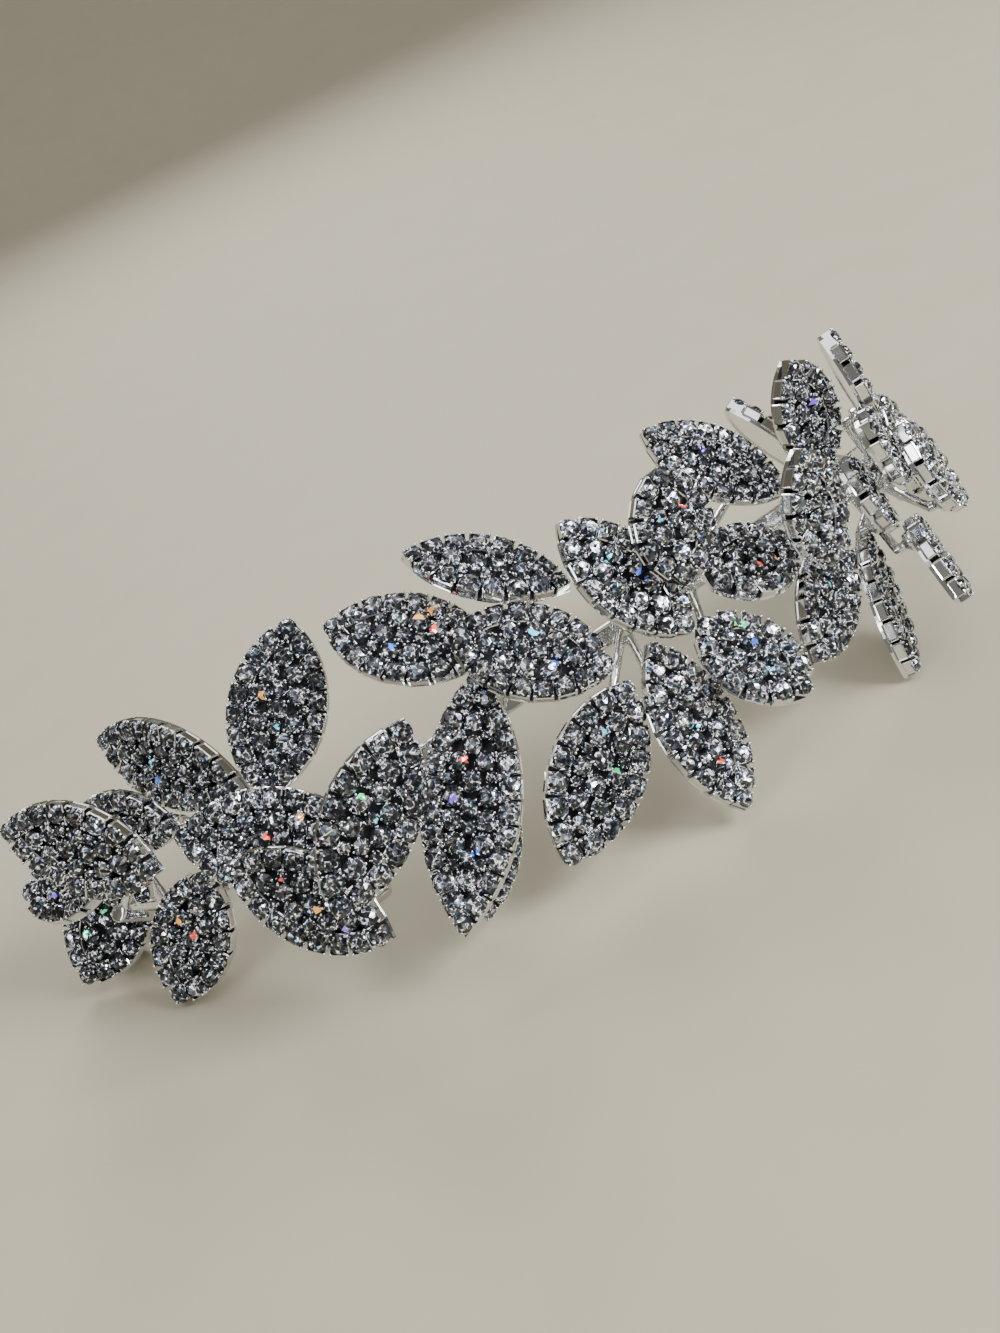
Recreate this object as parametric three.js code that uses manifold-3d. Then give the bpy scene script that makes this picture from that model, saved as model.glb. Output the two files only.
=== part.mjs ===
// A silver diadem of marquise leaves paved with round cut stones.
// An arched band carries short posts; soldered wires fan out from the posts, and each
// wire ends in a solder pad behind one leaf. Millimetres, +Z up, the front towards -Y.
import * as THREE from 'three';
import Module from 'manifold-3d';
import { ConvexHull } from 'three/addons/math/ConvexHull.js';
import { mergeVertices } from 'three/addons/utils/BufferGeometryUtils.js';

const wasm = await Module();
wasm.setup();

// The head that it is worn on, as a ball whose centre lies below the band's plane
const HEAD_RADIUS = 85;
const HEAD_DROP = 24;

// Band, tipped about the head's centre so that its left end is down by BAND_TIP degrees
const BAND_CLEARANCE = 0.5;
const BAND_THICKNESS = 1.2;
const BAND_HEIGHT = 2.6;
const BAND_TIP = 5.5;
const BAND_LEFT_END = -50;
const BAND_RIGHT_END = 47;
const BAND_STEPS = 28;
const EYE_OUTER_RADIUS = 2.6;
const EYE_INNER_RADIUS = 1.3;
const EYE_HEIGHT = 2;
const EYE_SIDES = 12;

// Posts, wires and solder pads
const POST_RADIUS = 1.2;
const POST_SIDES = 8;
const WIRE_RADIUS = 0.7;
const WIRE_SIDES = 5;
const PAD_SIDES = 6;
const PAD_RADIUS = 1.4;
const PAD_THICKNESS = 0.8;
const SEAT_GAP = 0.3;

// Leaves and stones
const STONE_PITCH = 2.85;
const TIP_STONE_REACH = 2.3;
const SCALLOP_DEPTH = 0.5;
const SETTING_HEIGHT = 1.6;
const CROWN_HEIGHT = 0.8;
const TABLE_SHARE = 0.27;
const TABLE_CORNERS = 4;
const NARROWEST_CELL = 0.5;
const TWO_ROW_HALF_WIDTH = 2.0;
const FEWEST_SIDE_STONES = 3;

const FULL_TURN = 2 * Math.PI;
const SAME_POINT = 1e-4;

const silver = { color: 0xd4d7da, roughness: 0.18, metalness: 1 };
const pave = { color: 0xdfe4ea, roughness: 0.1, metalness: 0.7, flatShading: true };

// Where each post stands: degrees round from the front, how far its top is above the
// band's plane, and how far its top is out from the head
const POSTS = {
  a_end: { bearing: -44, rise: -4.6, reach: 10.5 },
  a: { bearing: -34, rise: 0, reach: 6 },
  a_side: { bearing: -21, rise: -2, reach: 10 },
  b: { bearing: -9.3, rise: 0.6, reach: 6 },
  c: { bearing: 3, rise: 0, reach: 5 },
  c_side: { bearing: 9.4, rise: 0, reach: 4 },
  d: { bearing: 30, rise: 0, reach: 9 },
};

// One row for each leaf. bearing: degrees round from the front to the leaf's middle;
// rise: its height on the head above the band's plane; out: its distance from the head;
// turn: the way its tip points, 0 to the right and 90 up, seen from outside; lift: how
// far the tip is raised off the head; roll: its turn about its own length; arch: how far
// both ends bend back; seat: where the pad sits, from the base 0 to the tip 1; start:
// where the wire leaves its post, from the foot 0 to the top 1; leg: the straight end of
// the wire behind the pad.
const LEAF_COLUMNS = [
  'name', 'post', 'bearing', 'rise', 'out', 'turn', 'lift', 'roll',
  'length', 'width', 'arch', 'seat', 'start', 'leg',
];
const LEAF_ROWS = [
  ['a1', 'a', -38, 9, 5, 143, 4, -24, 25, 11, 0.9, 0.14, 0.3, 1],
  ['a2', 'a', -26.5, 8.5, 4.5, 62, 0, 20, 22, 12, 0, 0.14, 0.3, 1],
  ['a3', 'a_end', -42, 2, 15, 146, 16, -16, 22, 11.5, 0, 0.25, 0.9, 1],
  ['a4', 'a', -43.1, 5, 5.8, 154, 3, -20, 18, 8, 0, 0.14, 0.3, 1],
  ['a5', 'a_end', -47.5, 0.5, 10.5, 180, 12, 20, 16, 11.5, 0, 0.2, 0.7, 1],
  ['a6', 'a_end', -49.9, -3.6, 4.5, -132, 10, -22, 19.6, 12, 0, 0.14, 0, 1],
  ['a7', 'a', -41.1, -9.7, 4, -132, 0, -13, 18, 11, 0, 0.14, 0.1, 1],
  ['a8', 'a', -29, -4.8, 8.5, 155, 0, 5, 27, 12, 0.9, 0.6, 0.9, 1],
  ['a9', 'a_side', -27, -11.5, 12, -47, 0, 10, 21, 10.5, 0, 0.75, 0.1, 7],
  ['a10', 'a_side', -20.5, -7.5, 16, 44, 0, 32, 22, 10.5, 0, 0.65, 0.9, 1],
  ['b1', 'b', -6.5, 10, 7.5, 142, 8, 15, 20, 9, 0.6, 0.2, 0.8, 1],
  ['b2', 'b', -14.3, 8.1, 5, 143, 0, 10, 21, 11.5, 0, 0.14, 0.2, 1],
  ['b3', 'b', -6.8, 0, 8.5, -40, 0, -8, 19, 11.5, 0, 0.4, 0.9, 1],
  ['b4', 'b', -15, -10, 7, -119, 6, 8, 29.5, 11.5, 0, 0.12, 0.6, 1],
  ['b5', 'b', -16, -12.5, 3, -110, 4, -10, 21, 10, 0, 0.14, 0.1, 0.5],
  ['c1', 'c', 2, 2.5, 8, 115, 15, 3, 20, 10.5, 0, 0.3, 0.9, 1],
  ['c2', 'c', -6.5, -13, 4.5, -137, 0, -16, 22, 11.5, 0, 0.12, 0.2, 1],
  ['c3', 'c', 1.5, -14, 4.5, -89, 0, -15, 22, 10.5, 0, 0.12, 0.2, 1],
  ['c4', 'c_side', 17.5, 11, 3.5, 122, 0, -15, 20, 10, 0, 0.3, 0, 0.3],
  ['c5', 'c_side', 6.2, 4, 12, 75, 25, 10, 14, 10.5, 0, 0.38, 1, 0.3],
  ['c6', 'c_side', 11.8, -2, 6.5, -172, 12, 15, 15, 11, 0, 0.3, 0.6, 1],
  ['c7', 'c_side', 7.3, -11, 7, -68, 15, -7, 15.4, 10.5, 0, 0.2, 0.4, 1],
  ['d1', 'd', 21.4, 7.4, 14, 110, 40, -17, 15, 10, 0, 0.15, 0.9, 1],
  ['d2', 'd', 15, -1.5, 15, 98, 37, 2, 15, 10, 0, 0.15, 0.85, 1],
  ['d3', 'd', 15.85, -9, 6.5, -141, 0, -19, 19, 10, 0, 0.15, 0.4, 1],
  ['d4', 'd', 24.9, 7.3, 17.4, 120, 33, 26, 14, 10, 0, 0.15, 0.9, 1],
  ['d5', 'd', 22.8, 0, 16.5, 152, 32, 2, 13, 9.5, 0, 0.25, 1, 0.3],
  ['d6', 'd', 22.4, -2.5, 11, 123, 23, 22, 11.6, 10, 0, 0.15, 1, 1.6],
  ['d7', 'd', 30.2, 0, 11, 105, 22, 10, 16, 10.5, 0, 0.15, 0.8, 1],
  ['d8', 'd', 22, -11.9, 14, -133, 26, -22, 15, 10, 0, 0.15, 0.3, 1.25],
  ['d9', 'd', 21.1, -13, 5.5, -116, 5, -30, 20, 10, 0, 0.15, 0.3, 1],
  ['d10', 'd', 25.6, -4, 16.5, 126, 20, 12, 15, 10, 0, 0.15, 0.55, 1],
  ['d11', 'd', 23.5, 9.9, 5, 127, 20, 45, 15, 10, 0, 0.15, 0.05, 1.2],
];

const asLeaf = (row) => Object.fromEntries(LEAF_COLUMNS.map((column, index) => [column, row[index]]));
const LEAVES = LEAF_ROWS.map(asLeaf);

const HEAD_CENTRE = new THREE.Vector3(0, 0, -HEAD_DROP);
const UP = new THREE.Vector3(0, 0, 1);

function roundTheHead(bearing) {
  const angle = THREE.MathUtils.degToRad(bearing);
  return {
    outward: new THREE.Vector3(Math.sin(angle), -Math.cos(angle), 0),
    east: new THREE.Vector3(Math.cos(angle), Math.sin(angle), 0),
  };
}

// A point on or off the head, with the directions out of the head, round it and up it
function placeOnHead(bearing, rise, out) {
  const { outward, east } = roundTheHead(bearing);
  const level = (rise + HEAD_DROP) / HEAD_RADIUS;
  const normal = outward.multiplyScalar(Math.sqrt(1 - level * level)).addScaledVector(UP, level);
  const north = new THREE.Vector3().crossVectors(normal, east);
  const point = HEAD_CENTRE.clone().addScaledVector(normal, HEAD_RADIUS + out);
  return { point, normal, east, north };
}

// The leaf's own axes: x from base to tip, z out of its paved face
function leafMatrix(row) {
  const { point, normal, east, north } = placeOnHead(row.bearing, row.rise, row.out);
  const turn = THREE.MathUtils.degToRad(row.turn);
  const lift = THREE.MathUtils.degToRad(row.lift);
  const along = east.multiplyScalar(Math.cos(turn)).addScaledVector(north, Math.sin(turn));
  along.multiplyScalar(Math.cos(lift)).addScaledVector(normal, Math.sin(lift));
  const face = normal.clone().addScaledVector(along, -normal.dot(along)).normalize();
  face.applyAxisAngle(along, THREE.MathUtils.degToRad(row.roll));
  const across = new THREE.Vector3().crossVectors(face, along);
  return new THREE.Matrix4().makeBasis(along, across, face).setPosition(point);
}

// Outline of a leaf as two arcs, parted into stones. Each point is [x, y].
function leafOutline(length, width) {
  const halfLength = length / 2;
  const halfWidth = width / 2;
  const radius = (halfLength ** 2 + halfWidth ** 2) / width;
  const openAngle = Math.asin(halfLength / radius);
  const side = 2 * openAngle * radius - 2 * TIP_STONE_REACH;
  const count = Math.max(FEWEST_SIDE_STONES, Math.round(side / STONE_PITCH));
  const onArc = (step, inset) => {
    const angle = (TIP_STONE_REACH + (side * step) / count) / radius - openAngle;
    const reach = radius - inset;
    return [reach * Math.sin(angle), reach * Math.cos(angle) + halfWidth - radius];
  };
  const innerEnd = halfLength - STONE_PITCH;
  const notches = [];
  const bulges = [];
  const inner = [];
  for (let step = 0; step <= count; step += 1) {
    notches.push(onArc(step, SCALLOP_DEPTH));
    const [x, y] = onArc(step, STONE_PITCH);
    inner.push([Math.max(-innerEnd, Math.min(innerEnd, x)), Math.max(NARROWEST_CELL, y)]);
    if (step < count) bulges.push(onArc(step + 0.5, 0));
  }
  return { halfLength, count, notches, bulges, inner };
}

const mirrored = (points) => points.map(([x, y]) => [x, -y]).reverse();

// The stones' outlines in the flat: a ring that follows the edge, and one or two rows inside
function stoneCells({ halfLength, count, notches, bulges, inner }) {
  const cells = [];
  for (let step = 0; step < count; step += 1) {
    const edge = [inner[step], inner[step + 1], notches[step + 1], bulges[step], notches[step]];
    cells.push(edge, mirrored(edge));
  }
  const last = count;
  const flip = ([x, y]) => [x, -y];
  cells.push([inner[last], flip(inner[last]), flip(notches[last]), [halfLength, 0], notches[last]]);
  cells.push([flip(inner[0]), inner[0], notches[0], [-halfLength, 0], flip(notches[0])]);
  const hasMiddle = (step) => inner[step][1] > TWO_ROW_HALF_WIDTH;
  for (let step = 0; step < count; step += 1) {
    const start = inner[step];
    const end = inner[step + 1];
    const middle = (index) => [inner[index][0], 0];
    if (hasMiddle(step) && hasMiddle(step + 1)) {
      const half = [middle(step), middle(step + 1), end, start];
      cells.push(half, mirrored(half));
    } else {
      const startMiddle = hasMiddle(step) ? [middle(step)] : [];
      const endMiddle = hasMiddle(step + 1) ? [middle(step + 1)] : [];
      cells.push([...startMiddle, flip(start), flip(end), ...endMiddle, end, start]);
    }
  }
  return cells;
}

function centreOf(cell) {
  let doubled = 0;
  let sumX = 0;
  let sumY = 0;
  cell.forEach(([x0, y0], index) => {
    const [x1, y1] = cell[(index + 1) % cell.length];
    const cross = x0 * y1 - x1 * y0;
    doubled += cross;
    sumX += (x0 + x1) * cross;
    sumY += (y0 + y1) * cross;
  });
  return { x: sumX / (3 * doubled), y: sumY / (3 * doubled) };
}

// Collects triangles whose corners are [x, y, z]
class Shell {
  constructor() {
    this.corners = [];
  }

  triangle(a, b, c) {
    this.corners.push(...a, ...b, ...c);
  }

  quad(a, b, c, d) {
    this.triangle(a, b, c);
    this.triangle(a, c, d);
  }

  geometry() {
    const geometry = new THREE.BufferGeometry();
    geometry.setAttribute('position', new THREE.Float32BufferAttribute(this.corners, 3));
    const merged = mergeVertices(geometry, SAME_POINT);
    merged.computeVertexNormals();
    return merged;
  }
}

// One cut stone: a flat table raised over its cell, with facets down to the girdle
function addStone(shell, cell) {
  const centre = centreOf(cell);
  const spanOf = (values) => Math.max(...values) - Math.min(...values);
  const spanX = spanOf(cell.map(([x]) => x));
  const spanY = spanOf(cell.map(([, y]) => y));
  const angleOf = ([x, y]) => (
    (Math.atan2(y - centre.y, x - centre.x) + FULL_TURN) % FULL_TURN
  );
  const girdle = cell.slice().sort((one, other) => angleOf(one) - angleOf(other));
  const table = [];
  for (let quarter = 0; quarter < TABLE_CORNERS; quarter += 1) {
    const angle = (quarter * FULL_TURN) / TABLE_CORNERS;
    const x = centre.x + TABLE_SHARE * spanX * Math.cos(angle);
    const y = centre.y + TABLE_SHARE * spanY * Math.sin(angle);
    table.push([x, y, SETTING_HEIGHT + CROWN_HEIGHT]);
  }
  shell.quad(...table);
  const corner = (index) => girdle[(index + girdle.length) % girdle.length];
  const onGirdle = (index) => [...corner(index), SETTING_HEIGHT];
  // The table corner that faces the girdle's edge from one corner to the next
  const facing = (index) => {
    const [x0, y0] = corner(index);
    const [x1, y1] = corner(index + 1);
    const between = angleOf([(x0 + x1) / 2, (y0 + y1) / 2]);
    return Math.round((between / FULL_TURN) * TABLE_CORNERS) % TABLE_CORNERS;
  };
  girdle.forEach((_, index) => {
    const last = facing(index);
    let quarter = facing(index - 1);
    while (quarter !== last) {
      const next = (quarter + 1) % TABLE_CORNERS;
      shell.triangle(onGirdle(index), table[next], table[quarter]);
      quarter = next;
    }
    shell.triangle(onGirdle(index), onGirdle(index + 1), table[last]);
  });
}

function leafGeometry({ length, width, arch }) {
  const outline = leafOutline(length, width);
  const { halfLength, count, notches, bulges } = outline;
  const shell = new Shell();
  stoneCells(outline).forEach((cell) => addStone(shell, cell));
  const upper = [];
  for (let step = 0; step <= count; step += 1) {
    upper.push(notches[step]);
    if (step < count) upper.push(bulges[step]);
  }
  const lower = upper.map(([x, y]) => [x, -y]);
  const base = [-halfLength, 0];
  const tip = [halfLength, 0];
  const rim = [base, ...lower, tip, ...upper.slice().reverse()];
  rim.forEach(([x, y], index) => {
    const [nextX, nextY] = rim[(index + 1) % rim.length];
    shell.quad([x, y, 0], [nextX, nextY, 0], [nextX, nextY, SETTING_HEIGHT], [x, y, SETTING_HEIGHT]);
  });
  const low = ([x, y]) => [x, y, 0];
  const end = upper.length - 1;
  shell.triangle(low(base), low(upper[0]), low(lower[0]));
  for (let step = 0; step < end; step += 1) {
    shell.quad(low(lower[step]), low(upper[step]), low(upper[step + 1]), low(lower[step + 1]));
  }
  shell.triangle(low(lower[end]), low(upper[end]), low(tip));
  for (let index = 0; index < shell.corners.length; index += 3) {
    shell.corners[index + 2] -= arch * (shell.corners[index] / halfLength) ** 2;
  }
  return shell.geometry();
}

function solidFrom(geometry) {
  const bare = geometry.clone();
  bare.deleteAttribute('normal');
  bare.deleteAttribute('uv');
  const merged = mergeVertices(bare, SAME_POINT);
  return new wasm.Manifold(new wasm.Mesh({
    numProp: 3,
    vertProperties: new Float32Array(merged.attributes.position.array),
    triVerts: new Uint32Array(merged.index.array),
  }));
}

function geometryFrom(solid) {
  const mesh = solid.getMesh();
  const geometry = new THREE.BufferGeometry();
  geometry.setAttribute('position', new THREE.Float32BufferAttribute(mesh.vertProperties, 3));
  geometry.setIndex(new THREE.Uint32BufferAttribute(mesh.triVerts, 1));
  geometry.computeVertexNormals();
  return geometry;
}

function rod(start, end, radius, sides) {
  const along = new THREE.Vector3().subVectors(end, start);
  const geometry = new THREE.CylinderGeometry(radius, radius, along.length(), sides);
  const axis = new THREE.Vector3(0, 1, 0);
  geometry.applyQuaternion(new THREE.Quaternion().setFromUnitVectors(axis, along.normalize()));
  geometry.translate(...start.clone().add(end).multiplyScalar(0.5));
  return geometry;
}

const bandInnerRadius = Math.sqrt(HEAD_RADIUS ** 2 - HEAD_DROP ** 2) + BAND_CLEARANCE;
const bandMiddleRadius = bandInnerRadius + BAND_THICKNESS / 2;

// Tips what is made level with the band's middle plane, about the head's centre
const bandTip = new THREE.Matrix4()
  .makeTranslation(0, 0, -HEAD_DROP)
  .multiply(new THREE.Matrix4().makeRotationY(-THREE.MathUtils.degToRad(BAND_TIP)))
  .multiply(new THREE.Matrix4().makeTranslation(0, 0, HEAD_DROP));

function bandGeometry() {
  const start = THREE.MathUtils.degToRad(BAND_LEFT_END - 90);
  const end = THREE.MathUtils.degToRad(BAND_RIGHT_END - 90);
  const strip = new THREE.Shape();
  strip.absarc(0, 0, bandInnerRadius + BAND_THICKNESS, start, end, false);
  strip.absarc(0, 0, bandInnerRadius, end, start, true);
  const geometry = new THREE.ExtrudeGeometry(strip, {
    depth: BAND_HEIGHT,
    bevelEnabled: false,
    curveSegments: BAND_STEPS,
  });
  return geometry.translate(0, 0, -BAND_HEIGHT / 2).applyMatrix4(bandTip);
}

// A flat eye at each end of the band, for a hair pin
function eyeGeometry(bearing) {
  const half = EYE_HEIGHT / 2;
  const profile = [
    new THREE.Vector2(EYE_INNER_RADIUS, -half),
    new THREE.Vector2(EYE_OUTER_RADIUS, -half),
    new THREE.Vector2(EYE_OUTER_RADIUS, half),
    new THREE.Vector2(EYE_INNER_RADIUS, half),
    new THREE.Vector2(EYE_INNER_RADIUS, -half),
  ];
  const geometry = new THREE.LatheGeometry(profile, EYE_SIDES);
  const { outward, east } = roundTheHead(bearing);
  const above = new THREE.Vector3().crossVectors(east, outward);
  const basis = new THREE.Matrix4().makeBasis(east, outward, above);
  const overlap = (EYE_OUTER_RADIUS + EYE_INNER_RADIUS) / 2;
  const centre = outward.clone().multiplyScalar(bandMiddleRadius)
    .addScaledVector(east, Math.sign(bearing) * overlap);
  return geometry.applyMatrix4(basis.setPosition(centre).premultiply(bandTip));
}

function postEnds({ bearing, rise, reach }) {
  const foot = roundTheHead(bearing).outward.multiplyScalar(bandMiddleRadius);
  foot.applyMatrix4(bandTip);
  return { foot, top: placeOnHead(bearing, rise, reach).point };
}

function postGeometry(post) {
  const { foot, top } = postEnds(post);
  return rod(foot, top, POST_RADIUS, POST_SIDES);
}

// The solder pad behind a leaf, the wire's straight leg, and its run from the post
function stemGeometries(row, post) {
  const { length, arch, seat, start, leg } = row;
  const halfLength = length / 2;
  const x = length * (seat - 0.5);
  const slope = (-2 * arch * x) / halfLength ** 2;
  const face = new THREE.Vector3(-slope, 0, 1).normalize();
  const onBack = new THREE.Vector3(x, 0, -arch * (x / halfLength) ** 2);
  const matrix = leafMatrix(row);
  const behind = (depth) => onBack.clone().addScaledVector(face, -depth).applyMatrix4(matrix);
  const padTop = behind(SEAT_GAP);
  const padFoot = behind(SEAT_GAP + PAD_THICKNESS);
  const knee = behind(SEAT_GAP + PAD_THICKNESS + leg);
  const inPad = behind(SEAT_GAP + PAD_THICKNESS / 2);
  const { foot, top } = postEnds(post);
  const root = foot.lerp(top, start);
  const past = knee.clone().addScaledVector(knee.clone().sub(root).normalize(), WIRE_RADIUS / 2);
  return [
    rod(padFoot, padTop, PAD_RADIUS, PAD_SIDES),
    rod(knee, inPad, WIRE_RADIUS, WIRE_SIDES),
    rod(root, past, WIRE_RADIUS, WIRE_SIDES),
  ];
}

function carrierGeometry() {
  const pieces = [
    bandGeometry(),
    eyeGeometry(BAND_LEFT_END),
    eyeGeometry(BAND_RIGHT_END),
    ...Object.values(POSTS).map(postGeometry),
    ...LEAVES.flatMap((row) => stemGeometries(row, POSTS[row.post])),
  ];
  return geometryFrom(pieces.map(solidFrom).reduce((whole, piece) => whole.add(piece)));
}

// Volume, and the centre of the weight, from the solid's own triangles
function weigh(geometry) {
  const { position } = geometry.attributes;
  const corner = (index) => (
    new THREE.Vector3().fromBufferAttribute(position, geometry.index.getX(index))
  );
  const centre = new THREE.Vector3();
  let volume = 0;
  for (let index = 0; index < geometry.index.count; index += 3) {
    const [a, b, c] = [corner(index), corner(index + 1), corner(index + 2)];
    const part = a.dot(b.clone().cross(c)) / 6;
    volume += part;
    centre.addScaledVector(a.add(b).add(c), part / 4);
  }
  return { volume, centre: centre.divideScalar(volume) };
}

// The face of the hull that it comes to rest on: the most level one below the weight
function restingNormal(geometries) {
  const weighed = geometries.map(weigh);
  const volume = weighed.reduce((sum, part) => sum + part.volume, 0);
  const weight = new THREE.Vector3();
  weighed.forEach((part) => weight.addScaledVector(part.centre, part.volume / volume));
  const points = geometries.flatMap(({ attributes: { position } }) => (
    Array.from({ length: position.count }, (_, index) => (
      new THREE.Vector3().fromBufferAttribute(position, index)
    ))
  ));
  const below = new ConvexHull().setFromPoints(points).faces.filter((face) => {
    const edges = [face.edge, face.edge.next, face.edge.next.next];
    return face.normal.z < 0 && edges.every((edge) => {
      const tail = edge.tail().point;
      const side = edge.head().point.clone().sub(tail);
      return side.cross(weight.clone().sub(tail)).dot(face.normal) > 0;
    });
  });
  below.sort((one, other) => one.normal.z - other.normal.z);
  return below[0].normal.clone().negate();
}

const pieces = [
  { name: 'carrier', geometry: carrierGeometry(), look: silver },
  ...LEAVES.map((row) => ({
    name: `leaf_${row.name}`,
    geometry: leafGeometry(row).applyMatrix4(leafMatrix(row)),
    look: pave,
  })),
];

// Set down on its lowest tips, with the middle of its box over the origin
const lowest = restingNormal(pieces.map(({ geometry }) => geometry));
const upright = new THREE.Quaternion().setFromUnitVectors(lowest, UP);
const box = new THREE.Box3();
pieces.forEach(({ geometry }) => {
  geometry.applyQuaternion(upright);
  box.union(new THREE.Box3().setFromBufferAttribute(geometry.attributes.position));
});
const middle = box.getCenter(new THREE.Vector3());

const diadem = new THREE.Group();
diadem.name = 'diadem';
pieces.forEach(({ name, geometry, look }) => {
  geometry.translate(-middle.x, -middle.y, -box.min.z);
  const mesh = new THREE.Mesh(geometry, new THREE.MeshStandardMaterial(look));
  mesh.name = name;
  diadem.add(mesh);
});

export default diadem;
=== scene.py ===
"""Looks of a leaf diadem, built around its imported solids.

Each leaf's solid is replaced by a setting of silver cups with cut stones, and the soldered
carrier by the same metal with its joints flowed smooth. Metres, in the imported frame.
"""

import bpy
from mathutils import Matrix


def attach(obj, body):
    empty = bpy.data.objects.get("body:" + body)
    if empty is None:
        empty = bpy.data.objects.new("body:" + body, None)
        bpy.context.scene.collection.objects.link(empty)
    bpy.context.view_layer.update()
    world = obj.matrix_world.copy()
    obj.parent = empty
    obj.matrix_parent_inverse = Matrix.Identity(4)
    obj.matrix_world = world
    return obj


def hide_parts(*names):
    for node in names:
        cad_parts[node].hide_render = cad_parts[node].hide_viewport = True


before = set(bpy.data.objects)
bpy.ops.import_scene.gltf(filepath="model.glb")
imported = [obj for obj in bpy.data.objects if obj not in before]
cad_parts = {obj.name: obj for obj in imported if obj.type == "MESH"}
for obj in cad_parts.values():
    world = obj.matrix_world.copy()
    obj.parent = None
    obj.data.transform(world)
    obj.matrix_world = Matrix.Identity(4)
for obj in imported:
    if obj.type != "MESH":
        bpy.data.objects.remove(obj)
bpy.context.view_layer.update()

import math
import random

import bmesh
import bpy
import numpy as np
from bpy.props import FloatProperty, FloatVectorProperty, IntProperty, PointerProperty
from mathutils import Matrix, Vector

bl_info = {
    "name": "Leaf diadem",
    "version": (1, 0, 0),
    "blender": (4, 5, 0),
    "location": "3D View > Sidebar > Diadem",
    "description": "Dresses a leaf diadem's solids with set stones and polished silver",
    "category": "Add Mesh",
}

MM = 0.001
CARRIER = "carrier"
LEAF_PREFIX = "leaf_"

# Material slots of a leaf's mesh; slot 0 is the polished silver
# Slot 1 is dark metal painted as the shade between and under the stones
PAINTED_SHADE_SLOT = 1
STONE_SLOT = 2

# The photograph's camera: where it is in millimetres, its axes, and its focal length in
# pixels on a frame 1000 wide and 1333 high
CAMERA_PLACE = (-32.765694, -125.724118, 96.081754)
CAMERA_RIGHT = (0.832784, -0.411311, -0.370531)
CAMERA_UP = (0.521539, 0.357475, 0.774731)
FOCAL_PIXELS = 1257
FRAME_HEIGHT_PIXELS = 1333
SENSOR = 36.0
NEAREST_SEEN = 0.005
FARTHEST_SEEN = 60.0

# Fineness of the patterns, in features for each metre
CLOUD_SCALE = 220.0
RIPPLE_SCALE = 420.0
RECESS_SCALE = 900.0
SHARD_SCALE = 2100.0
STREAK_SCALE = 1500.0
STREAK_BREAK_SCALE = 1600.0
GRAIN_SCALE = 60.0

# How much of a stone's painted light comes from its facet, from the shard seen in it and from a painted
# streak
FACET_SHARE = 0.52
SHARD_SHARE = 0.28
STREAK_SHARE = 0.38
SHARD_TILT = 0.38

# The light at which a stone's colour is dark (twice), middle, pale and bright
STONE_STEPS = (0.0, 0.30, 0.50, 0.66, 0.80)
BLACK = (0.0, 0.0, 0.0)
WHITE = (1.0, 1.0, 1.0)
HALF = (0.5, 0.5, 0.5)

# Painted fire: faint tints of the shards, from plain ones to blue, cyan, violet and amber ones
SHARD_PAINTED_FIRE = (
    (0.0, WHITE),
    (0.72, WHITE),
    (0.80, (0.62, 0.74, 1.0)),
    (0.88, (0.62, 0.95, 1.0)),
    (0.93, (0.80, 0.66, 1.0)),
    (0.97, (1.0, 0.84, 0.66)),
)

# Shape of a cut stone, as shares of its radius or of its crown's height
KITE_WIDTH = 0.82
KITE_HEIGHT = 0.52
TABLE_WIDTH = 0.55
FOOT_WIDTH = 0.8
FOOT_DEPTH = 0.5

# Shape of a cup: shares of its rim's width, then a prong's inset as a share of its radius
# and its lift as a share of the crown's height
CHAMFER = 0.6
MOUTH_DEPTH = 1.5
PRONG_INSET = 0.9
PRONG_LIFT = 0.25
# A round cup's prongs and foot, as shares of its stone's radius, and how deep an edge cup
# reaches into the leaf, as a share of the stones' pitch
PRONG_REACH = 0.98
RING_FOOT = 0.95
CUP_DEPTH = 0.88

# Laying out the stones: the edge row's inset as a share of the pitch, the share of its full
# size at which a stone counts as full, the spacing of the places that are tried, and how
# steeply the crowding by other stones falls off with distance
EDGE_INSET = 0.44
FULL_ENOUGH = 0.93
GRID = 0.1 * MM
CROWDING = 8
# How the stones then spread out: how often, how far at first, and how readily
SPREAD_ROUNDS = 60
SPREAD_STEP = 0.05 * MM
SPREAD_PULL = 4

# The plate's rounded edge: two insets of its back
PLATE_EDGE = 0.45 * MM
PLATE_SLOPE = 0.35 * MM

# How much one stone differs from the next in shade, how much painted shade darkens its lower
# facets, and up to what share of the crown's height they reach
TONE_RANGE = 0.16
LOWER_SHADE = 0.12
LOWER_SHARE = 0.3
# Painted light: how much lighter the stones of each spray look, by how far it turns to the light
SPRAY_PAINTED_LIGHT = {"a": 0.0, "b": 0.03, "c": 0.10, "d": 0.14}
# Order of a stone's facets: how close in height those of one ring are, and where a ring starts
FACET_GRID = 0.01 * MM
FACET_START = 0.1

# The carrier: how close its vertices lie before they are one, how far behind a leaf its
# pads' tops are, how flat a solder drop is, and how strongly it is smoothed
WELD = 0.002 * MM
PAD_NEAREST = 0.1 * MM
PAD_FARTHEST = 0.42 * MM
DROP_FLATNESS = 0.45
SMOOTHING = 0.5

# The soft lights: their names, places and widths in metres and the stage's property that
# holds their power, and the point that they face
LIGHTS_AIM = (0.0, 0.0, 0.02)
LIGHTS = (
    ("key_light", (0.45, -0.38, 0.42), 0.30, "key_power"),
    ("side_light", (-0.55, -0.25, 0.35), 0.25, "side_power"),
    ("back_light", (0.10, 0.55, 0.45), 0.30, "back_power"),
)
SKY_HEIGHT = 2.0
SKY_LEAN = math.radians(-12.0)
SWEEP_STEPS = 12
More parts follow.
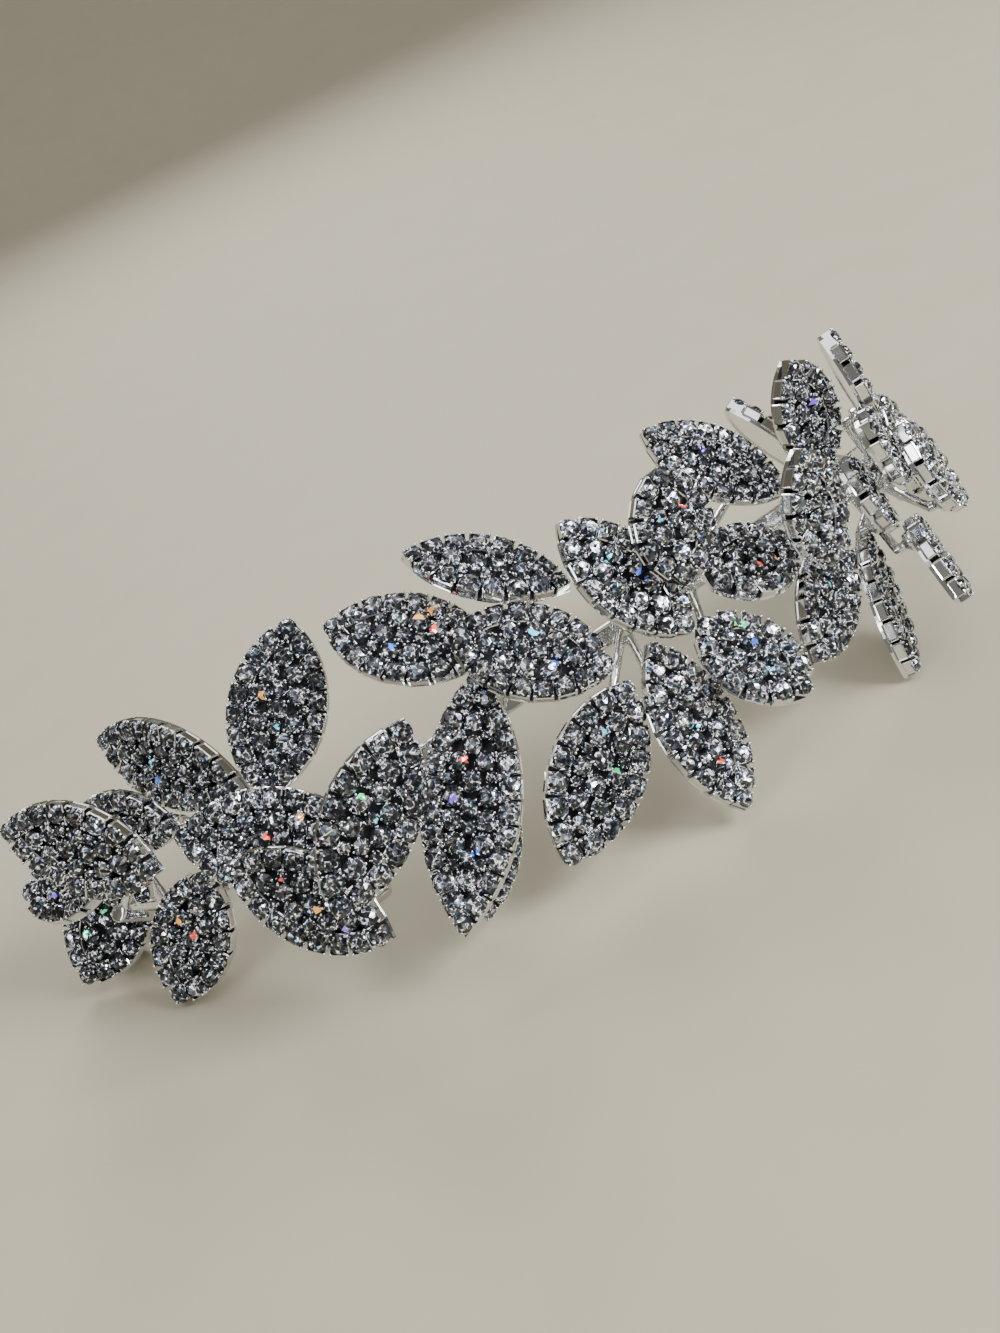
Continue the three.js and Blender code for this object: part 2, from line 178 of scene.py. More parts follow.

# Coloured flashes that the cut stones throw, painted into a few facets' colour and made to glow:
# the leaf, how far along it to the right, how far across it upwards (-1 to 1), and the colour
FLASH_COLUMNS = ("leaf", "along", "across", "colour")
FLASHES = (
    ("a1", -0.1, 0.1, "cyan"),
    ("a1", 0.0, -0.3, "blue"),
    ("a2", 0.1, 0.3, "orange"),
    ("a2", -0.2, -0.1, "cyan"),
    ("a5", -0.2, -0.4, "violet"),
    ("a6", -0.3, 0.3, "green"),
    ("a6", 0.1, 0.1, "green"),
    ("a6", 0.6, 0.1, "blue"),
    ("a6", 0.3, -0.4, "violet"),
    ("a7", 0.2, 0.3, "orange"),
    ("a7", 0.1, -0.1, "red"),
    ("a8", 0.3, 0.5, "orange"),
    ("a8", 0.0, 0.1, "red"),
    ("a9", -0.3, 0.3, "red"),
    ("a9", 0.5, -0.2, "violet"),
    ("a9", 0.2, 0.0, "orange"),
    ("a10", 0.0, -0.1, "cyan"),
    ("a10", 0.2, 0.4, "green"),
    ("b2", 0.1, 0.4, "orange"),
    ("b2", 0.3, 0.2, "red"),
    ("b2", 0.2, 0.6, "orange"),
    ("b2", -0.1, -0.3, "blue"),
    ("b3", 0.0, 0.3, "cyan"),
    ("b3", 0.3, -0.2, "blue"),
    ("b4", 0.3, 0.1, "red"),
    ("b4", -0.4, -0.2, "blue"),
    ("b4", 0.0, 0.3, "violet"),
    ("c1", 0.1, 0.2, "blue"),
    ("c1", -0.3, 0.0, "cyan"),
    ("c2", 0.4, 0.2, "cyan"),
    ("c2", 0.1, -0.3, "green"),
    ("c3", 0.0, 0.2, "cyan"),
    ("c3", -0.4, 0.1, "red"),
    ("c4", -0.2, 0.1, "violet"),
    ("c5", 0.1, 0.4, "cyan"),
    ("c5", 0.3, -0.2, "red"),
    ("c6", -0.1, -0.3, "red"),
    ("c6", 0.3, -0.4, "orange"),
    ("c7", -0.4, 0.4, "green"),
    ("c7", -0.1, 0.2, "blue"),
    ("c7", 0.3, -0.1, "cyan"),
    ("d1", -0.2, 0.1, "violet"),
    ("d3", 0.1, 0.3, "cyan"),
    ("d9", 0.0, 0.2, "cyan"),
)
FLASH_FACES = 4
NO_FLASH = (0.0, 0.0, 0.0, 0.0)
COLOURS = {
    "blue": (0.08, 0.22, 1.0),
    "cyan": (0.15, 0.75, 1.0),
    "green": (0.08, 0.95, 0.35),
    "orange": (1.0, 0.42, 0.10),
    "red": (1.0, 0.12, 0.08),
    "violet": (0.30, 0.16, 0.95),
}


def size(name, default_mm, description):
    """A length that a user can change, in metres with its default in millimetres."""
    return FloatProperty(
        name=name, default=default_mm * MM, min=0.0, precision=5, unit="LENGTH", description=description
    )


def colour(name, default, description):
    return FloatVectorProperty(
        name=name, default=default, min=0.0, max=1.0, subtype="COLOR", size=3, description=description
    )


def share(name, default, description, **more):
    """A plain number that a user can change."""
    return FloatProperty(name=name, default=default, min=0.0, description=description, **more)


class DIADEM_PG_leaf(bpy.types.PropertyGroup):
    """Sizes of the leaves' settings and stones."""

    pitch: size("Stone pitch", 2.85, "Distance from one stone to the next along the edge")
    tip_reach: size("Tip stone reach", 2.3, "How far the stone at a tip reaches along the edge")
    stone: size("Stone diameter", 2.62, "Diameter of a cut stone at its girdle")
    smallest: size("Smallest stone", 1.2, "Diameter of the smallest stone that fills a gap")
    crown: size("Crown height", 0.62, "Height of a stone from its girdle to its table")
    cup: size("Cup width", 2.5, "Width of one cup along the edge")
    tip_cup: size("Tip cup width", 2.2, "Width of the cup at a tip, which stands on its corner")
    wall: size("Cup height", 1.7, "Height of a cup's rim above the plate's back")
    foot: size("Cup foot", 0.32, "Height above the plate's back at which the cups start")
    rim: size("Cup rim", 0.2, "Width of the rim round a cup's mouth and side")
    panel: size("Panel depth", 0.1, "How far the panel in a cup's side is sunk")
    plate: size("Plate thickness", 0.55, "Thickness of the plate behind the cups")
    dish: size("Dish depth", 0.18, "How far the plate's back is hollowed")
    prong: size("Prong radius", 0.22, "Radius of the metal beads that hold a stone")
    sink: size("Sink", 0.15, "How much deeper than the rim the deepest stone sits")
    lean: share("Lean", 0.06, "How unevenly the stones lean, in radians", subtype="ANGLE")
    seed: IntProperty(name="Seed", default=7, description="Order of the stones' turns and shades")


class DIADEM_PG_carrier(bpy.types.PropertyGroup):
    """Sizes of the soldered carrier's finish."""

    flow: size("Solder flow", 0.24, "Size of the detail that the solder fills")
    drop: size("Solder drop", 1.45, "Radius of the solder drop behind each leaf")
    rounds: IntProperty(name="Smoothing", default=6, min=0, description="Rounds of smoothing")


class DIADEM_PG_finish(bpy.types.PropertyGroup):
    """Colours of the metal and the stones, with the painted shade, reflections, glints and fire in them."""

    silver: colour("Silver", (0.86, 0.87, 0.88), "Polished silver")
    # Painted reflection: darker clouds mixed into the silver's colour in place of what it reflects
    silver_painted_reflection: colour("Silver shade", (0.50, 0.50, 0.51), "Duller patches of the silver")
    # Painted shade: the metal deep between the stones is painted dark, with paler patches of the same shade
    recess_painted_shade: colour("Recess", (0.030, 0.030, 0.034), "Metal deep between the stones")
    recess_painted_shade_pale: colour("Recess, worn", (0.10, 0.10, 0.11), "Its paler patches")
    # Painted reflections: the stones' facets take these greys, dark to bright, in place of what they
    # reflect; the bright one is also the painted glints' glow
    stone_painted_dark: colour("Stone, dark", (0.050, 0.052, 0.060), "A stone's facet that looks dark")
    stone_painted_mid: colour("Stone, middle", (0.135, 0.14, 0.155), "A facet between dark and pale")
    stone_painted_pale: colour("Stone, pale", (0.30, 0.315, 0.345), "A facet between middle and bright")
    stone_painted_highlight: colour("Stone, bright", (0.90, 0.93, 0.98), "A stone's facet that looks bright")
    # Painted highlights in the stones: thin bright streaks, and shards above a shade that glow by emission
    # though no lamp is there
    glint_streak: share("Streak width", 0.055, "Width of the bright streaks, as a share of a shard")
    glint_from: share("Glint from", 0.84, "Shade above which a shard shines", max=1.0)
    glint_power: share("Glint power", 0.8, "How strongly it shines")


class DIADEM_PG_stage(bpy.types.PropertyGroup):
    """The floor and the lights."""

    floor: colour("Floor", (0.41, 0.38, 0.285), "Colour of the floor")
    floor_worn: colour("Floor, worn", (0.58, 0.545, 0.43), "Colour of the floor's paler grain")
    width: share("Half width", 12.0, "Half the floor's width", unit="LENGTH")
    front: share("Front", 6.0, "How far the floor reaches to the front", unit="LENGTH")
    depth: share("Depth", 0.9, "How far the floor is level to the back", unit="LENGTH")
    sweep: share("Sweep", 0.7, "Radius of the floor's upward sweep", unit="LENGTH")
    height: share("Height", 5.0, "Height that the floor sweeps up to", unit="LENGTH")
    room: colour("Room", (0.40, 0.385, 0.35), "Colour of the light from all round")
    room_power: share("Room power", 0.5, "Strength of the light from all round")
    sky_power: share("Sky power", 2.2, "Strength of the wide soft light overhead")
    sky_width: share("Sky width", 1.3, "How wide that light looks", subtype="ANGLE")
    key_power: share("Key power", 7.0, "The main light, from the right front", unit="POWER")
    side_power: share("Side power", 1.4, "The light from the left", unit="POWER")
    back_power: share("Back power", 3.0, "The light from behind", unit="POWER")


class Number:
    """A number on its way through a material; each operator adds its Math node."""

    def __init__(self, nodes, socket):
        self.nodes = nodes
        self.socket = socket

    def _math(self, operation, first, second):
        node = self.nodes.add("ShaderNodeMath", {"operation": operation}, {0: first, 1: second})
        return Number(self.nodes, node.outputs[0])

    def __add__(self, other):
        return self._math("ADD", self, other)

    def __radd__(self, other):
        return self._math("ADD", other, self)

    def __mul__(self, other):
        return self._math("MULTIPLY", self, other)

    def __rmul__(self, other):
        return self._math("MULTIPLY", other, self)

    def __gt__(self, other):
        return self._math("GREATER_THAN", self, other)

    def __lt__(self, other):
        return self._math("LESS_THAN", self, other)


class Nodes:
    """The nodes of one material."""

    def __init__(self, name):
        self.material = bpy.data.materials.new(name)
        self.material.use_nodes = True
        self.tree = self.material.node_tree
        self.shader = self.tree.nodes["Principled BSDF"]

    def add(self, kind, settings=None, sockets=None):
        """A node of that kind, with its settings made first and then its sockets filled."""
        node = self.tree.nodes.new(kind)
        for name, value in (settings or {}).items():
            if name == "stops":
                ramp = node.color_ramp
                while len(ramp.elements) < len(value):
                    ramp.elements.new(1.0)
                for element, (place, shade) in zip(ramp.elements, value):
                    element.position = place
                    element.color = (*shade, 1.0)
            else:
                setattr(node, name, value)
        for name, value in (sockets or {}).items():
            self.fill(node.inputs[name], value)
        return node

    def fill(self, socket, value):
        if isinstance(value, Number):
            value = value.socket
        if isinstance(value, bpy.types.NodeSocket):
            self.tree.links.new(value, socket)
        elif hasattr(value, "__len__") and socket.type == "RGBA":
            socket.default_value = (*value[:3], 1.0)
        else:
            socket.default_value = value

    def number(self, socket):
        return Number(self, socket)

    def place(self):
        return self.add("ShaderNodeTexCoord").outputs["Object"]

    def noise(self, scale, detail=2.0):
        made = self.add("ShaderNodeTexNoise", {}, {"Vector": self.place(), "Scale": scale, "Detail": detail})
        return self.number(made.outputs["Fac"])

    def cells(self, feature, scale):
        """A node that splits space into random cells."""
        return self.add(
            "ShaderNodeTexVoronoi", {"feature": feature}, {"Vector": self.place(), "Scale": scale}
        )

    def mix(self, factor, first, second):
        """Two colours mixed; sockets 6 and 7 are the node's colour inputs, 2 its colour output."""
        made = self.add(
            "ShaderNodeMix", {"data_type": "RGBA"}, {"Factor": factor, 6: first, 7: second}
        )
        return made.outputs[2]

    def vector(self, operation, first, second):
        made = self.add("ShaderNodeVectorMath", {"operation": operation}, {0: first, 1: second})
        return made.outputs[0]

    def ramp(self, factor, stops):
        made = self.add("ShaderNodeValToRGB", {"stops": stops}, {"Fac": factor})
        return made.outputs["Color"]

    def bump(self, height, strength, distance):
        made = self.add(
            "ShaderNodeBump", {}, {"Height": height, "Strength": strength, "Distance": distance}
        )
        return made.outputs["Normal"]

    def finish(self, **sockets):
        """Fills the shader's sockets; their names are given with _ for a space."""
        for name, value in sockets.items():
            self.fill(self.shader.inputs[name.replace("_", " ")], value)
        return self.material


def silver_metal(look):
    """Polished silver plate: bright, with faint duller clouds that are rougher and carry a darker painted
    reflection, and a slight ripple.
    """
    nodes = Nodes("polished_silver")
    clouds = nodes.noise(CLOUD_SCALE)
    ripple = nodes.noise(RIPPLE_SCALE, 1.0)
    return nodes.finish(
        Base_Color=nodes.mix(clouds * 0.5, look.silver, look.silver_painted_reflection),
        Metallic=1.0,
        Roughness=0.06 + clouds * 0.1,
        Normal=nodes.bump(ripple, 0.25, 0.08 * MM),
    )


def painted_shade_metal(look):
    """Metal deep between the stones, painted dark as shade where little light comes."""
    nodes = Nodes("recess_silver")
    clouds = nodes.noise(RECESS_SCALE)
    return nodes.finish(
        Base_Color=nodes.mix(clouds * 0.6, look.recess_painted_shade, look.recess_painted_shade_pale),
        Metallic=1.0,
        Roughness=0.4 + clouds * 0.2,
    )


def cut_stone(look):
    """Clear cut stone over foil: every facet, and every shard seen in it, has its own painted shade of
    reflected light, and the brightest glow as painted glints.
    """
    nodes = Nodes("cut_stone")
    shade = nodes.number(nodes.add("ShaderNodeAttribute", {"attribute_name": "shade"}).outputs["Fac"])
    flash = nodes.add("ShaderNodeAttribute", {"attribute_name": "flash"})
    flashing = nodes.number(flash.outputs["Alpha"])
    shards = nodes.cells("F1", SHARD_SCALE)
    parts = nodes.add("ShaderNodeSeparateColor", {}, {"Color": shards.outputs["Color"]})
    shard = nodes.number(parts.outputs["Red"])
    polish = nodes.number(parts.outputs["Green"])
    # Painted highlight: bright streaks along the seams of the cells
    seams = nodes.number(nodes.cells("DISTANCE_TO_EDGE", STREAK_SCALE).outputs["Distance"])
    glint_streak = (seams < look.glint_streak) * (nodes.noise(STREAK_BREAK_SCALE) > 0.5)
    light = shade * FACET_SHARE + shard * SHARD_SHARE + glint_streak * STREAK_SHARE
    shades = (look.stone_painted_dark, look.stone_painted_dark, look.stone_painted_mid, look.stone_painted_pale, look.stone_painted_highlight)
    grey = nodes.ramp(light, tuple(zip(STONE_STEPS, shades)))
    # Painted fire: faint colours in some shards
    fire_tint = nodes.ramp(nodes.number(parts.outputs["Blue"]), SHARD_PAINTED_FIRE)
    tilt = nodes.vector("SUBTRACT", shards.outputs["Color"], HALF)
    lean = nodes.vector("MULTIPLY", tilt, (SHARD_TILT, SHARD_TILT, SHARD_TILT))
    normal = nodes.add("ShaderNodeNewGeometry").outputs["Normal"]
    # Painted glints and flashes: the brightest shards and the flash facets glow by emission, though no lamp
    # is there
    glint = nodes.mix(light > look.glint_from, BLACK, look.stone_painted_highlight)
    return nodes.finish(
        Base_Color=nodes.mix(flashing, nodes.vector("MULTIPLY", grey, fire_tint), flash.outputs["Color"]),
        Metallic=0.85,
        Roughness=0.05 + polish * 0.14,
        Normal=nodes.vector("NORMALIZE", nodes.vector("ADD", normal, lean), BLACK),
        Emission_Color=nodes.mix(flashing, glint, flash.outputs["Color"]),
        Emission_Strength=look.glint_power,
    )


class LeafFrame:
    """Where a leaf's solid lies: its middle, its axes and its half sizes, read from its mesh."""

    def __init__(self, node):
        mesh = node.data
        points = np.array([vertex.co for vertex in mesh.vertices], float)
        points = np.unique(np.round(points, 6), axis=0)
        middle = points.mean(0)
        _, axes = np.linalg.eigh((points - middle).T @ (points - middle))
        along = Vector(axes[:, 2])
        face = Vector(axes[:, 0])
        if along.x < 0:
            along = -along
        level = 0.95
        middle_share = 0.25
        tip_share = 0.97
        facing = sum(p.area for p in mesh.polygons if p.normal.dot(face) > level)
        away = sum(p.area for p in mesh.polygons if p.normal.dot(face) < -level)
        if facing > away:
            face = -face
        across = face.cross(along)
        spread = (points - middle) @ np.array([along, across, face]).T
        low, high = spread.min(0), spread.max(0)
        self.half_length = (high[0] - low[0]) / 2
        self.half_width = (high[1] - low[1]) / 2
        from_middle = np.abs(spread[:, 0] - (low[0] + high[0]) / 2)
        near = from_middle < self.half_length * middle_share
        far = from_middle > self.half_length * tip_share
        back = spread[near, 2].min()
        self.arch = max(0.0, back - spread[far, 2].min())
        origin = Vector(middle) + along * ((low[0] + high[0]) / 2) + across * ((low[1] + high[1]) / 2)
        origin += face * back
        self.matrix = Matrix((along, across, face)).transposed().to_4x4()
        self.matrix.translation = origin

    def bend(self, bm):
        """Bends both ends back, as the solid's are, and moves the leaf to its place."""
        for vertex in bm.verts:
            vertex.co.z -= self.arch * (vertex.co.x / self.half_length) ** 2
        bm.transform(self.matrix)


class Outline:
    """The leaf's edge as two arcs, and the points on it at a given inset."""

    def __init__(self, leaf, sizes):
        self.half_length = leaf.half_length
        self.half_width = leaf.half_width
        self.radius = (leaf.half_length**2 + leaf.half_width**2) / (2 * leaf.half_width)
        self.open_angle = math.asin(leaf.half_length / self.radius)
        side = 2 * self.open_angle * self.radius - 2 * sizes.tip_reach
        self.count = max(3, round(side / sizes.pitch))
        self.start = sizes.tip_reach / self.radius - self.open_angle
        self.step = side / self.count / self.radius

    def point(self, angle, inset):
        reach = self.radius - inset
        middle = self.half_width - self.radius
        return Vector((reach * math.sin(angle), reach * math.cos(angle) + middle, 0.0))


class Place:
    """Where one stone sits on its leaf, its radius, and how its cup is turned."""

    def __init__(self, x, y, radius, turn=0.0, cup="inner_cup"):
        self.x = x
        self.y = y
        self.radius = radius
        self.turn = turn
        self.cup = cup


def edge_places(outline, sizes):
    """The stones that follow the leaf's edge, and the one at each tip."""
    full = sizes.stone / 2
    inset = sizes.pitch * EDGE_INSET
    radius = min(full, outline.step * (outline.radius - inset) / 2)
    places = []
    for index in range(outline.count):
        angle = outline.start + (index + 0.5) * outline.step
        point = outline.point(angle, inset)
        places.append(Place(point.x, point.y, radius, -angle, "edge_cup"))
        places.append(Place(point.x, -point.y, radius, math.pi + angle, "edge_cup"))
    tip = outline.half_length - sizes.tip_cup * math.sqrt(0.5)
    near = min(math.hypot(tip - place.x, place.y) - place.radius for place in places)
    for side in (1, -1):
        places.append(Place(side * tip, 0.0, min(full, near), -side * math.pi / 4, "tip_cup"))
    return places


def inner_places(outline, sizes, places):
    """Stones that fill the leaf inside its edge, in mirrored pairs or on the middle line.

    Each goes where it fits most snugly between those already there, and what is left
    over takes smaller stones. Then all of them spread out evenly.
    """
    full = sizes.stone / 2
    columns = np.arange(-outline.half_length, outline.half_length + GRID, GRID)
    rows = np.r_[0.0, np.arange(full, outline.half_width, GRID)]
    x, y = np.meshgrid(columns, rows)
    room = outline.radius - np.hypot(x, y + outline.radius - outline.half_width) - sizes.rim
    crowd = np.zeros_like(x)

    def add(place):
        nonlocal room, crowd
        gap = np.hypot(x - place.x, y - place.y)
        room = np.minimum(room, gap - place.radius)
        crowd = crowd + (full / np.maximum(gap, GRID)) ** CROWDING
        places.append(place)

    fixed = len(places)
    edge = places[:]
    places.clear()
    for place in edge:
        add(place)
    while True:
        fits = room >= full * FULL_ENOUGH
        score = np.where(fits, crowd, room / full - 1.0) if fits.any() else room
        best = np.unravel_index(np.argmax(score), score.shape)
        radius = min(full, room[best])
        if radius < sizes.smallest / 2:
            break
        place_x, place_y = x[best], y[best]
        if 0 < place_y < radius:
            room[best] = 0.0
            continue
        add(Place(place_x, place_y, radius))
        if place_y > 0:
            add(Place(place_x, -place_y, radius))
    spread_out(places, fixed, full)


def spread_out(places, fixed, full):
    """Lets the stones after the first fixed ones push each other apart, then sizes them."""
    points = np.array([(place.x, place.y) for place in places])
    radii = np.array([place.radius for place in places])
    for index in range(SPREAD_ROUNDS):
        for mover in range(fixed, len(points)):
            away = points[mover] - np.delete(points, mover, 0)
            far = np.hypot(away[:, 0], away[:, 1])
            reach = (np.delete(radii, mover) + radii[mover]) / far
            push = (away * (reach**CROWDING / far)[:, None]).sum(0)
            strength = np.hypot(*push)
            step = SPREAD_STEP * (1 - index / SPREAD_ROUNDS) * min(1.0, strength * SPREAD_PULL)
            if strength > 0:
                points[mover] += push / strength * step
    for mover in range(fixed, len(points)):
        far = np.hypot(*(points[mover] - np.delete(points, mover, 0)).T)
        share = radii[mover] / (radii[mover] + np.delete(radii, mover))
        places[mover].x, places[mover].y = points[mover]
        places[mover].radius = min(full, (far * share).min())


def stone_shape(sizes):
    """One round cut stone with its girdle at 0: a table, stars, kites and girdle facets."""
    radius = sizes.stone / 2
    bm = bmesh.new()
    bmesh.ops.create_circle(bm, segments=16, radius=radius)
    bmesh.ops.create_circle(
        bm,
        segments=8,
        radius=radius * KITE_WIDTH,
        matrix=Matrix.Translation((0, 0, sizes.crown * KITE_HEIGHT)),
    )
    bmesh.ops.create_circle(
        bm,
        segments=8,
        radius=radius * TABLE_WIDTH,
        matrix=Matrix.Translation((0, 0, sizes.crown)) @ Matrix.Rotation(math.pi / 8, 4, "Z"),
    )
    bmesh.ops.create_circle(
        bm,
        segments=8,
        radius=radius * FOOT_WIDTH,
        matrix=Matrix.Translation((0, 0, -sizes.crown * FOOT_DEPTH)),
    )
    bmesh.ops.delete(bm, geom=bm.edges[:], context="EDGES_FACES")
    bmesh.ops.convex_hull(bm, input=bm.verts[:])
    bmesh.ops.dissolve_limit(
        bm, angle_limit=math.radians(1.0), verts=bm.verts[:], edges=bm.edges[:]
    )
    table = max(bm.faces, key=lambda face: face.calc_center_median().z)
    bmesh.ops.poke(bm, faces=[table])
    bmesh.ops.recalc_face_normals(bm, faces=bm.faces[:])
    bm.faces.sort(key=facet_order)
    return kept(bm, "stone_shape")


def facet_order(face):
    """Where a facet comes in a stone's order: from its foot up, and round each ring.

    The hull's own order changes from run to run, and each facet's shade goes by it.
    """
    middle = face.calc_center_median()
    ring = round(middle.z / FACET_GRID)
    turn = (math.atan2(middle.y, middle.x) + FACET_START) % (2 * math.pi)
    return ring * 2 * math.pi + turn


def cup_shape(sizes, width, depth):
    """One square cup, open at its top, with a panel sunk in its outer side (+Y)."""
    bm = bmesh.new()
    bmesh.ops.create_cube(bm, size=1.0)
    bmesh.ops.scale(bm, vec=(width, depth, sizes.wall - sizes.foot), verts=bm.verts[:])
    bmesh.ops.translate(bm, vec=(0, 0, (sizes.wall + sizes.foot) / 2), verts=bm.verts[:])
    bmesh.ops.bevel(
        bm,
        geom=bm.edges[:],
        offset=sizes.rim * CHAMFER,
        affect="EDGES",
        segments=1,
        profile=0.5,
        material=-1,
    )
    top = max(bm.faces, key=lambda face: face.calc_center_median().z)
    outer = max(bm.faces, key=lambda face: face.calc_center_median().y)
    sink_mouth(bm, sizes, top)
    bmesh.ops.inset_region(bm, faces=[outer], thickness=sizes.rim, depth=-sizes.panel)
    add_prongs(bm, sizes, [
        (x * (width / 2 - sizes.prong * PRONG_INSET), y * (depth / 2 - sizes.prong * PRONG_INSET))
        for x in (-1, 1)
        for y in (-1, 1)
    ])
    return kept(bm, "cup_shape")


def sink_mouth(bm, sizes, top):
    """Sinks a cup's top inside its rim; the sunk face has the darker metal of painted shade."""
    bmesh.ops.inset_region(
        bm, faces=[top], thickness=sizes.rim * CHAMFER, depth=-sizes.rim * MOUTH_DEPTH
    )
    top.material_index = PAINTED_SHADE_SLOT


def ring_shape(sizes):
    """One round cup for a stone inside the leaf."""
    radius = sizes.stone / 2
    bm = bmesh.new()
    bmesh.ops.create_cone(
        bm,
        cap_ends=True,
        segments=12,
        radius1=radius * RING_FOOT,
        radius2=radius,
        depth=sizes.wall - sizes.foot,
        matrix=Matrix.Translation((0, 0, (sizes.wall + sizes.foot) / 2)),
    )
    top = max(bm.faces, key=lambda face: face.calc_center_median().z)
    sink_mouth(bm, sizes, top)
    reach = radius * PRONG_REACH
    add_prongs(bm, sizes, [
        (reach * math.cos(turn), reach * math.sin(turn))
        for turn in (math.pi / 4, 3 * math.pi / 4, 5 * math.pi / 4, 7 * math.pi / 4)
    ])
    return kept(bm, "ring_shape")


def add_prongs(bm, sizes, places):
    """A bead of metal at each place, level with a stone's girdle."""
    for x, y in places:
        place = Matrix.Translation((x, y, sizes.wall + sizes.crown * PRONG_LIFT))
        made = bmesh.ops.create_icosphere(bm, subdivisions=1, radius=sizes.prong, matrix=place)
        for face in {face for vertex in made["verts"] for face in vertex.link_faces}:
            face.smooth = True


def kept(bm, name):
    """The bmesh as mesh data, to be placed many times."""
    mesh = bpy.data.meshes.new(name)
    bm.to_mesh(mesh)
    bm.free()
    return mesh


def place_copy(bm, mesh, matrix, slot=None):
    """Adds a copy of a kept mesh at a place and returns its faces."""
    before_verts = len(bm.verts)
    before_faces = len(bm.faces)
    bm.from_mesh(mesh)
    bm.verts.ensure_lookup_table()
    bm.faces.ensure_lookup_table()
    bmesh.ops.transform(bm, matrix=matrix, verts=bm.verts[before_verts:])
    faces = bm.faces[before_faces:]
    if slot is not None:
        for face in faces:
            face.material_index = slot
    return faces


def leaf_plate(bm, outline, sizes):
    """The plate behind the cups: the leaf's outline with a rounded edge and a hollowed back."""
    steps = 24
    ring = []
    for side in (1, -1):
        for index in range(steps):
            angle = outline.open_angle * (2 * index / steps - 1)
            point = outline.point(angle, sizes.rim)
            ring.append(bm.verts.new((side * point.x, side * max(0.0, point.y), 0.0)))
    face = bm.faces.new(ring)
    face.normal_update()
    made = bmesh.ops.extrude_face_region(bm, geom=[face])
    top = [item for item in made["geom"] if isinstance(item, bmesh.types.BMVert)]
    bmesh.ops.translate(bm, vec=(0, 0, sizes.plate), verts=top)
    bottom = min(bm.faces, key=lambda item: item.calc_center_median().z)
    bmesh.ops.inset_region(bm, faces=[bottom], thickness=PLATE_EDGE, depth=0.0)
    bmesh.ops.inset_region(bm, faces=[bottom], thickness=PLATE_SLOPE, depth=0.0)
    bmesh.ops.translate(bm, vec=(0, 0, sizes.dish), verts=list(bottom.verts))
    # The plate's top, under and between the cups, takes the dark metal of painted shade
    max(bm.faces, key=lambda item: item.calc_center_median().z).material_index = PAINTED_SHADE_SLOT
    bmesh.ops.recalc_face_normals(bm, faces=bm.faces[:])


def flashes_of(name):
    """The leaf's coloured flashes as (along, across, colour)."""
    rows = [dict(zip(FLASH_COLUMNS, row)) for row in FLASHES]
    return [(row["along"], row["across"], COLOURS[row["colour"]]) for row in rows if row["leaf"] == name]


def build_leaf(context, name, shapes):
    """One leaf: plate, cups, prongs and stones in one object that replaces its solid."""
    sizes = context.scene.diadem_leaf
    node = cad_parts[LEAF_PREFIX + name]
    leaf = LeafFrame(node)
    outline = Outline(leaf, sizes)
    chance = random.Random(f"{sizes.seed} {name}")
    bm = bmesh.new()
    shade = bm.faces.layers.float.new("shade")
    flash = bm.faces.layers.float_color.new("flash")
    leaf_plate(bm, outline, sizes)
    places = edge_places(outline, sizes)
    inner_places(outline, sizes, places)
    for place in places:
        spread = place.radius * 2 / sizes.stone
        point = Matrix.Translation((place.x, place.y, 0.0))
        turned = point @ Matrix.Rotation(place.turn, 4, "Z")
        narrow = Matrix.Diagonal((spread, 1.0 if place.cup == "edge_cup" else spread, 1.0, 1.0))
        place_copy(bm, shapes[place.cup], turned @ narrow)
        lean = Matrix.Rotation(chance.gauss(0, sizes.lean), 4, "X")
        lean = lean @ Matrix.Rotation(chance.gauss(0, sizes.lean), 4, "Y")
        spin = Matrix.Rotation(chance.uniform(0, math.pi), 4, "Z")
        level = Matrix.Translation((0.0, 0.0, sizes.wall - chance.uniform(0.0, sizes.sink)))
        grow = Matrix.Diagonal((spread, spread, 1.0, 1.0))
        faces = place_copy(bm, shapes["stone"], point @ level @ lean @ spin @ grow, slot=STONE_SLOT)
        # The stone's tone differs at random, and painted light lightens it by its spray
        tone = chance.uniform(-TONE_RANGE, TONE_RANGE) + SPRAY_PAINTED_LIGHT[name[0]]
        # Painted shade darkens the stone's lower facets
        low = sizes.wall + sizes.crown * LOWER_SHARE
        # Each facet's random shade is a painted reflection
        for face in faces:
            lower = LOWER_SHADE if face.calc_center_median().z < low else 0.0
            face[shade] = min(1.0, max(0.0, chance.random() + tone - lower))
            face[flash] = NO_FLASH
    stones = [face for face in bm.faces if face.material_index == STONE_SLOT]
    # Painted light: the facets nearest each listed flash take its colour and glow
    for along, across, hue in flashes_of(name):
        aim = Vector((along * leaf.half_length, across * leaf.half_width, sizes.wall + sizes.crown))
        stones.sort(key=lambda face: (face.calc_center_median() - aim).length)
        for face in stones[:FLASH_FACES]:
            face[flash] = (*hue, 1.0)
    leaf.bend(bm)
    mesh = bpy.data.meshes.new(f"set_{LEAF_PREFIX}{name}")
    bm.to_mesh(mesh)
    bm.free()
    for material in shapes["materials"]:
        mesh.materials.append(material)
    piece = bpy.data.objects.new(f"set_{LEAF_PREFIX}{name}", mesh)
    context.scene.collection.objects.link(piece)
    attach(piece, "root")
    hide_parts(node.name)
    return piece


def made_once(name, make):
    """The material of that name, made the first time it is asked for."""
    return bpy.data.materials.get(name) or make(bpy.context.scene.diadem_finish)


